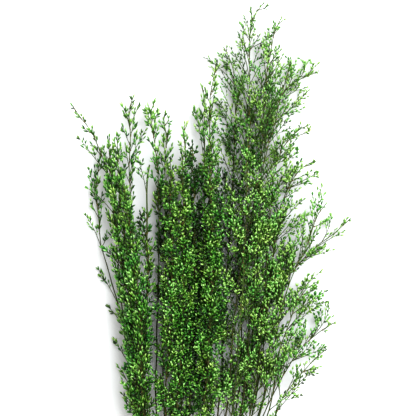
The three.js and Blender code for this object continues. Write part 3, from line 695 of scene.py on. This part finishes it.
def branchlet(growth, point, direction, side, reach):
    """A short twig of the stem's tip, with three buds at most."""
    azimuth = growth.inner(direction[0], side)
    heading = leaning(direction, growth.around(BRANCHLET_ANGLE), azimuth, BRANCHLET_FLATNESS)
    curve = curve_through(*bent_path(point, heading, direction, BRANCHLET_TURN, reach))
    growth.twigs[3].append(curve)
    growth.side_bud(*along_curve(curve, BRANCHLET_BUD), side)
    growth.tip_buds(*along_curve(curve, 1.0))


def grow_scales(growth, index, stem):
    """Dry scales on the bare part of a stem, above the band."""
    y = mix(*STEM_SCALES_START, draw(index, 30))
    while y < SPRAYS[index].leaf_from:
        point, direction = on_line(stem, y)
        azimuth = growth.random.uniform(0, 2 * math.pi)
        growth.scale(point, leaning(direction, SCALE_ANGLE, azimuth))
        y += growth.around(STEM_SCALES_SPACING, share=0.4)


# ---- Meshes, each a list of vertices, triangles, and two numbers on every vertex
def linked(name, data):
    """A new object in the scene."""
    made = bpy.data.objects.new(name, data)
    bpy.context.scene.collection.objects.link(made)
    return made


class Mesh:
    """Parts of one piece: tone is how deep or bright a place is, and on buds holds painted light and
    shade too; along is how near the young end.
    """

    def __init__(self):
        self.vertices = []
        self.triangles = []
        self.tone = []
        self.along = []
        self.material = []
        self.count = 0

    def add(self, vertices, triangles, tone, along, material):
        """Add a part, its tone and along as arrays or numbers that spread over its vertices."""
        shape = vertices.shape[:-1]
        triangles = triangles.reshape(-1, 3)
        self.vertices.append(vertices.reshape(-1, 3))
        self.triangles.append(triangles + self.count)
        self.tone.append(np.broadcast_to(tone, shape).ravel())
        self.along.append(np.broadcast_to(along, shape).ravel())
        self.material.append(np.full(len(triangles), material, np.int32))
        self.count += math.prod(shape)

    def made(self, name, materials):
        vertices = np.concatenate(self.vertices) * MM
        triangles = np.concatenate(self.triangles).astype(np.int32)
        data = bpy.data.meshes.new(name)
        data.vertices.add(len(vertices))
        data.vertices.foreach_set("co", vertices.astype(np.float32).ravel())
        data.loops.add(triangles.size)
        data.loops.foreach_set("vertex_index", triangles.ravel())
        data.polygons.add(len(triangles))
        data.polygons.foreach_set("loop_start", np.arange(0, triangles.size, 3, dtype=np.int32))
        data.polygons.foreach_set("material_index", np.concatenate(self.material))
        data.polygons.foreach_set("use_smooth", np.ones(len(triangles), bool))
        for label, values in (("tone", self.tone), ("along", self.along)):
            layer = data.attributes.new(label, "FLOAT", "POINT")
            layer.data.foreach_set("value", np.concatenate(values).astype(np.float32))
        for material in materials:
            data.materials.append(material)
        data.update()
        data.validate()
        return linked(name, data)


def tube_triangles(rings, sides):
    """The walls of a tube of rings, as triangles facing out."""
    i, k = np.meshgrid(np.arange(rings - 1), np.arange(sides), indexing="ij")
    a = i * sides + k
    b = i * sides + (k + 1) % sides
    return np.stack((np.stack((a, b + sides, b), -1), np.stack((a, a + sides, b + sides), -1)), 2)


def fan_triangles(centre, ring, sides, turned=False):
    """Triangles between a ring and its centre, facing back along the tube unless turned."""
    k = np.arange(sides)
    a, b = ring + k, ring + (k + 1) % sides
    if turned:
        a, b = b, a
    return np.stack((np.full(sides, centre), a, b), -1)


def rings_round(lines, radii, sides):
    """Rings of points round many lines at once: lines (n, points, 3), radii broadcast to them."""
    ahead = np.concatenate((lines[:, 1:], lines[:, -1:]), 1)
    behind = np.concatenate((lines[:, :1], lines[:, :-1]), 1)
    across, over = sides_of(unit(ahead - behind))
    a = np.arange(sides) * 2 * math.pi / sides
    reach = np.broadcast_to(radii, (*lines.shape[:2], sides))[..., None]
    spokes = across[:, :, None] * np.cos(a)[:, None] + over[:, :, None] * np.sin(a)[:, None]
    return lines[:, :, None] + reach * spokes


def many(triangles, count, stride):
    """The same triangles for `count` copies that lie `stride` vertices apart."""
    flat = triangles.reshape(-1, 3)
    return (flat[None] + np.arange(count)[:, None, None] * stride).reshape(-1, 3)


def add_twigs(mesh, growth, rank):
    """All twigs of one rank, as thin tubes."""
    curves = np.array(growth.twigs[rank])
    if not len(curves):
        return
    sides, count = TWIG_SIDES[rank], TWIG_POINTS[rank]
    t = np.linspace(0, 1, count)[None, :, None]
    lines, _ = along_curve(curves.transpose(1, 0, 2)[:, :, None], t)
    thick, thin = TWIG_RADII[rank]
    vertices = rings_round(lines, mix(thick, thin, t), sides)
    triangles = np.concatenate((
        tube_triangles(count, sides).reshape(-1, 3),
        fan_triangles((count - 1) * sides, (count - 1) * sides, sides)[1:-1],
    ))
    tone = growth.random.uniform(0, 1, len(lines))[:, None, None]
    young = mix(TWIG_YOUNG[rank], 1.0, t)
    mesh.add(vertices, many(triangles, len(lines), count * sides), tone, young, TWIG)


def add_buds(mesh, buds, material):
    """Spindles, a little bent, pointed at their tips."""
    if not buds:
        return
    table = np.array(buds)
    roots, tips = table[:, 0:3], table[:, 3:6]
    radius, turn, tone = table[:, 6:].T
    direction = unit(tips - roots)
    across, over = sides_of(direction)
    place, width = np.array(BUD_RINGS).T
    bent = np.cos(turn)[:, None] * across + np.sin(turn)[:, None] * over
    bow = BUD_BOW * (place * (1 - place) * 4)[None, :, None] * bent[:, None]
    middle = roots[:, None] + place[None, :, None] * (tips - roots)[:, None] + bow
    a = np.arange(BUD_SIDES) * 2 * math.pi / BUD_SIDES + turn[:, None]
    spokes = np.cos(a)[..., None] * across[:, None] + np.sin(a)[..., None] * over[:, None]
    reach = radius[:, None, None, None] * width[None, :, None, None]
    rings = middle[:, :, None] + reach * spokes[:, None]
    count = len(BUD_RINGS)
    vertices = np.concatenate((rings.reshape(len(buds), -1, 3), tips[:, None]), 1)
    last = count * BUD_SIDES
    triangles = np.concatenate((
        tube_triangles(count, BUD_SIDES).reshape(-1, 3),
        fan_triangles(last, last - BUD_SIDES, BUD_SIDES),
    ))
    along = np.append(np.repeat(place, BUD_SIDES), 1.0)
    mesh.add(vertices, many(triangles, len(buds), last + 1), tone[:, None], along, material)


def add_stem(mesh, stem, index, broken):
    """The ribbed stem with its cut end and its tip."""
    tip_y = stem[-1, 1]
    y = np.maximum(stem[:, 1], 0)
    t = np.clip(y / tip_y, 0, 1)
    top_radius = BROKEN_TOP_RADIUS if broken else STEM_TOP_RADIUS
    radii = mix(STEM_RADIUS, top_radius, t * t * (3 - 2 * t))
    ribs = np.where(np.arange(STEM_SIDES) % 2 == 0, 1.0, 1 - STEM_RIB)
    rings = rings_round(stem[None], radii[None, :, None] * ribs, STEM_SIDES)[0]
    mesh.add(rings, tube_triangles(len(stem), STEM_SIDES), draw(index, 20), t[:, None], TWIG)
    for ring, turned in ((rings[0], False), (rings[-1], True)):
        middle = ring.mean(0)
        disc = np.concatenate((ring, middle[None]))
        rim = np.append(np.zeros(STEM_SIDES), 1.0)
        mesh.add(disc, fan_triangles(STEM_SIDES, 0, STEM_SIDES, turned), 0.5, rim, PITH)


# ---- Materials
class Surface:
    """A material, with what makes its nodes."""

    def __init__(self, name, specular):
        self.material = bpy.data.materials.new(name)
        self.material.use_nodes = True
        self.tree = self.material.node_tree
        self.shader = self.tree.nodes["Principled BSDF"].inputs
        self.fill(self.shader["Specular IOR Level"], specular)

    def fill(self, socket, value):
        """Give a socket a value, or link it where the value is a socket too."""
        if isinstance(value, bpy.types.NodeSocket):
            self.tree.links.new(value, socket)
        else:
            socket.default_value = value

    def node(self, kind, **values):
        """A node with its inputs filled, or its own settings set, by name."""
        made = self.tree.nodes.new("ShaderNode" + kind)
        for key, value in values.items():
            socket = made.inputs.get(key.replace("_", " ").title())
            if socket is None:
                setattr(made, key, value)
            else:
                self.fill(socket, value)
        return made

    def attribute(self, name):
        return self.node("Attribute", attribute_name=name).outputs["Fac"]

    def noise(self, scale, detail=2, stretch=(1, 1, 1)):
        """Noise over the object, its scale in features a metre."""
        place = self.node("TexCoord").outputs["Object"]
        place = self.node("Mapping", vector=place, scale=stretch).outputs["Vector"]
        return self.node("TexNoise", vector=place, scale=scale, detail=detail).outputs["Fac"]

    def math(self, operation, a, b):
        made = self.node("Math", operation=operation)
        self.fill(made.inputs[0], a)
        self.fill(made.inputs[1], b)
        return made.outputs[0]

    def weighted(self, *pairs):
        """The sum of sockets, each times its weight."""
        total = 0.0
        for socket, weight in pairs:
            total = self.math("ADD", total, self.math("MULTIPLY", socket, weight))
        return total

    def ramp(self, value, *stops):
        """A colour for a value, between stops of a place and a colour."""
        made = self.node("ValToRGB", fac=value)
        elements = made.color_ramp.elements
        while len(elements) < len(stops):
            elements.new(0.5)
        for element, (place, colour) in zip(elements, stops):
            element.position = place
            element.color = (*colour, 1)
        return made.outputs["Color"]

    def ranged(self, value, **limits):
        """A value brought from one range to another."""
        return self.node("MapRange", value=value, **limits).outputs["Result"]

    def finished(self, colour, value, roughness, height, depth):
        """The material in a colour, its roughness between two as a value goes from 0 to 1, and its
        bump as deep as given, in metres."""
        low, high = roughness
        self.fill(self.shader["Base Color"], colour)
        self.fill(self.shader["Roughness"], self.ranged(value, to_min=low, to_max=high))
        bump = self.node("Bump", height=height, strength=0.5, distance=depth)
        self.fill(self.shader["Normal"], bump.outputs["Normal"])
        return self.material


def bud_material():
    """Buds: deep green at the root to yellow-green at the tip, each with a tone of its own that also
    holds painted light and shade.
    """
    buds = Surface("bud_green", specular=0.6)
    mottle = buds.noise(900, 3)
    value = buds.weighted((buds.attribute("tone"), 0.54), (buds.attribute("along"), 0.46),
                          (mottle, 0.16), (buds.noise(18), 0.2))
    green = buds.ramp(
        value, (0.2, (0.001, 0.006, 0.0005)), (0.42, (0.008, 0.036, 0.003)),
        (0.62, (0.042, 0.145, 0.013)), (0.84, (0.135, 0.285, 0.045)), (1.0, (0.33, 0.5, 0.2)))
    hue = buds.ranged(buds.noise(45), from_min=0.3, from_max=0.7, to_min=0.475, to_max=0.53)
    green = buds.node("HueSaturation", hue=hue, color=green).outputs["Color"]
    return buds.finished(green, mottle, (0.28, 0.56), buds.noise(2600), depth=0.0001)


def twig_material():
    """Twigs: grey-brown wood below, olive green above, streaked along the stems."""
    twigs = Surface("twig_wood", specular=0.35)
    streaks = twigs.noise(1500, 3, stretch=(1, 0.05, 1))
    value = twigs.weighted((twigs.attribute("along"), 0.55), (twigs.attribute("tone"), 0.25),
                           (streaks, 0.55))
    wood = twigs.ramp(value, (0.15, (0.024, 0.019, 0.009)), (0.4, (0.055, 0.05, 0.02)),
                      (0.7, (0.038, 0.055, 0.015)), (1.0, (0.07, 0.11, 0.03)))
    return twigs.finished(wood, streaks, (0.5, 0.8), streaks, depth=0.0003)


def pith_material():
    """A cut end: dark at the bark, pale straw inside."""
    pith = Surface("cut_pith", specular=0.2)
    grain = pith.noise(5000)
    value = pith.weighted((pith.attribute("along"), 0.9), (grain, 0.2))
    straw = pith.ramp(value, (0.1, (0.05, 0.06, 0.02)), (0.35, (0.3, 0.27, 0.13)),
                      (0.9, (0.55, 0.5, 0.32)))
    return pith.finished(straw, grain, (0.75, 0.95), grain, depth=0.0001)


def scale_material():
    """Dry scales: brown, paler at the tip."""
    scales = Surface("dry_scale", specular=0.3)
    mottle = scales.noise(1200, 3)
    value = scales.weighted((scales.attribute("along"), 0.6), (mottle, 0.5))
    brown = scales.ramp(value, (0.2, (0.05, 0.04, 0.015)), (0.6, (0.13, 0.1, 0.04)),
                        (1.0, (0.25, 0.2, 0.09)))
    return scales.finished(brown, mottle, (0.6, 0.85), mottle, depth=0.0001)


def rubber_material():
    """Tan rubber: a little mottled and dusty, with fine lines along the loops."""
    rubber = Surface("tan_rubber", specular=0.4)
    mottle = rubber.noise(260, 4)
    lines = rubber.noise(700, stretch=(0.1, 6, 0.1))
    value = rubber.weighted((mottle, 0.6), (lines, 0.25), (rubber.attribute("tone"), 0.3))
    tan = rubber.ramp(value, (0.3, (0.3, 0.18, 0.075)), (0.6, (0.46, 0.3, 0.14)),
                      (0.9, (0.6, 0.43, 0.24)))
    return rubber.finished(tan, mottle, (0.42, 0.7), lines, depth=0.0001)


MATERIALS = {BUD: bud_material(), TWIG: twig_material(), PITH: pith_material(), SCALE: scale_material()}


# ---- The sprays
def make_spray(index):
    """One spray, in place of its solid."""
    spray = SPRAYS[index]
    name = spray.name
    stem = stem_line(index, STEM_STEP, swaying=True)
    growth = Growth(index, spray.habit, LOOKS[spray.look], stem)
    grow_shoots(growth, index, stem)
    grow_low_shoots(growth, index, stem)
    grow_long_shoots(growth, index, stem)
    broken = name in LEAF_TO
    if not broken:
        grow_tip(growth, stem)
    grow_scales(growth, index, stem)
    mesh = Mesh()
    add_stem(mesh, stem, index, broken)
    for rank in growth.twigs:
        add_twigs(mesh, growth, rank)
    add_buds(mesh, growth.buds, BUD)
    add_buds(mesh, growth.scales, SCALE)
    piece = mesh.made("foliage_" + name, MATERIALS.values())
    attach(piece, "root")
    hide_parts("spray_" + name)


# ---- The band
def corner_stems():
    """The six stems at the corners of the bundle, as (x, z), turning from below to the left."""
    picks = ((0, 0), (0, -1), (2, -1), (4, -1), (4, 0), (2, 0))
    return [slot_of(layer, ROWS[layer][end]) for layer, end in picks]


def loop_line(offset):
    """A closed line round the bundle that keeps an offset from the corner stems' middles."""
    points = []
    for corner, (x, z) in enumerate(corner_stems()):
        middle = math.radians(FIRST_CORNER + 2 * CORNER_BEND * corner)
        for bend in np.radians(np.linspace(-CORNER_BEND, CORNER_BEND, CORNER_STEPS)):
            a = middle + bend
            points.append((x + offset * math.cos(a), z + offset * math.sin(a)))
    return np.array(points)


def divided(line, longest):
    """A closed line with more points, so that no two are further apart than `longest`."""
    points = []
    for a, b in zip(line, np.roll(line, -1, 0)):
        steps = max(1, math.ceil(np.linalg.norm(b - a) / longest))
        points += [a + (b - a) * k / steps for k in range(steps)]
    return np.array(points)


def make_band():
    """Three rounded loops side by side, a little uneven where they press on one another."""
    width = BAND_WIDTH / BAND_TURNS
    inside = divided(loop_line(STEM_RADIUS + BAND_GAP), LOOP_STEP)
    outside = inside + BAND_THICKNESS * loop_normals(inside)
    a = np.arange(LOOP_SIDES) * 2 * math.pi / LOOP_SIDES
    across, over = (np.sign(v) * np.abs(v) ** LOOP_SQUARENESS for v in (np.cos(a), np.sin(a)))
    random = np.random.default_rng(len(SPRAYS))
    mesh = Mesh()
    count = len(inside)
    for turn in range(BAND_TURNS):
        middle_y = (turn - (BAND_TURNS - 1) / 2) * width
        phase = random.uniform(0, 2 * math.pi)
        wave = np.sin(np.arange(count) * LOOP_WAVES * 2 * math.pi / count + phase)
        y = middle_y + LOOP_DRIFT * wave[:, None] + (width / 2 - LOOP_DRIFT) * across[None]
        share = (over[None] + 1) / 2
        flat = inside[:, None] + share[..., None] * (outside - inside)[:, None]
        vertices = np.stack((flat[..., 0], y, flat[..., 1]), -1)
        triangles = tube_triangles(count + 1, LOOP_SIDES) % (count * LOOP_SIDES)  # it closes
        mesh.add(vertices, triangles, draw(turn, 40), 0.5, 0)
    piece = mesh.made("rubber_band", (rubber_material(),))
    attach(piece, "root")
    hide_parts("band")


def loop_normals(line):
    """Directions out of a closed line that turns anticlockwise."""
    along = unit(np.roll(line, -1, 0) - np.roll(line, 1, 0))
    return np.stack((along[:, 1], -along[:, 0]), -1)


for index in range(len(SPRAYS)):
    make_spray(index)
make_band()


# ---- The surface, the light and the camera
PHOTO_WIDTH = 499.2  # what the picture spans
PHOTO_CENTRE = (16.8, 446.4)
SUBJECT_HEIGHT = 30  # where it spans that, in the middle of the foliage
CAMERA_HEIGHT = 1800
SENSOR = 36
FLOOR_SIZE = 12000


def make_floor():
    half = FLOOR_SIZE / 2 * MM
    data = bpy.data.meshes.new("floor")
    corners = [(-half, -half, 0), (half, -half, 0), (half, half, 0), (-half, half, 0)]
    data.from_pydata(corners, [], [(0, 1, 2, 3)])
    floor = linked("floor", data)
    surface = Surface("pale_surface", specular=0.2)
    surface.fill(surface.shader["Roughness"], 0.9)
    surface.fill(surface.shader["Base Color"], (0.6, 0.61, 0.62, 1))
    data.materials.append(surface.material)


def make_light(name, place, target, size, power, colour):
    """A round soft light, in metres and watts."""
    data = bpy.data.lights.new(name, "AREA")
    data.shape = "DISK"
    data.size = size
    data.energy = power
    data.color = colour
    light = linked(name, data)
    light.location = place
    way = Vector(target) - Vector(place)
    light.rotation_euler = way.to_track_quat("-Z", "Y").to_euler()


def make_world():
    world = bpy.data.worlds.new("studio")
    world.use_nodes = True
    background = world.node_tree.nodes["Background"]
    background.inputs["Color"].default_value = (1.0, 0.98, 0.955, 1)
    background.inputs["Strength"].default_value = 0.85
    bpy.context.scene.world = world


def make_camera():
    data = bpy.data.cameras.new("camera")
    data.sensor_width = SENSOR
    data.lens = SENSOR * (CAMERA_HEIGHT - SUBJECT_HEIGHT) / PHOTO_WIDTH
    camera = linked("camera", data)
    camera.location = (PHOTO_CENTRE[0] * MM, PHOTO_CENTRE[1] * MM, CAMERA_HEIGHT * MM)
    bpy.context.scene.camera = camera


make_floor()
make_world()
make_light("key", place=(0.6, 0.8, 1.75), target=(0.0, 0.4, 0.0), size=1.3, power=32,
           colour=(0.97, 0.985, 1.0))
make_camera()
bpy.context.scene.view_settings.view_transform = "Standard"
bpy.context.scene.view_settings.look = "Very High Contrast"
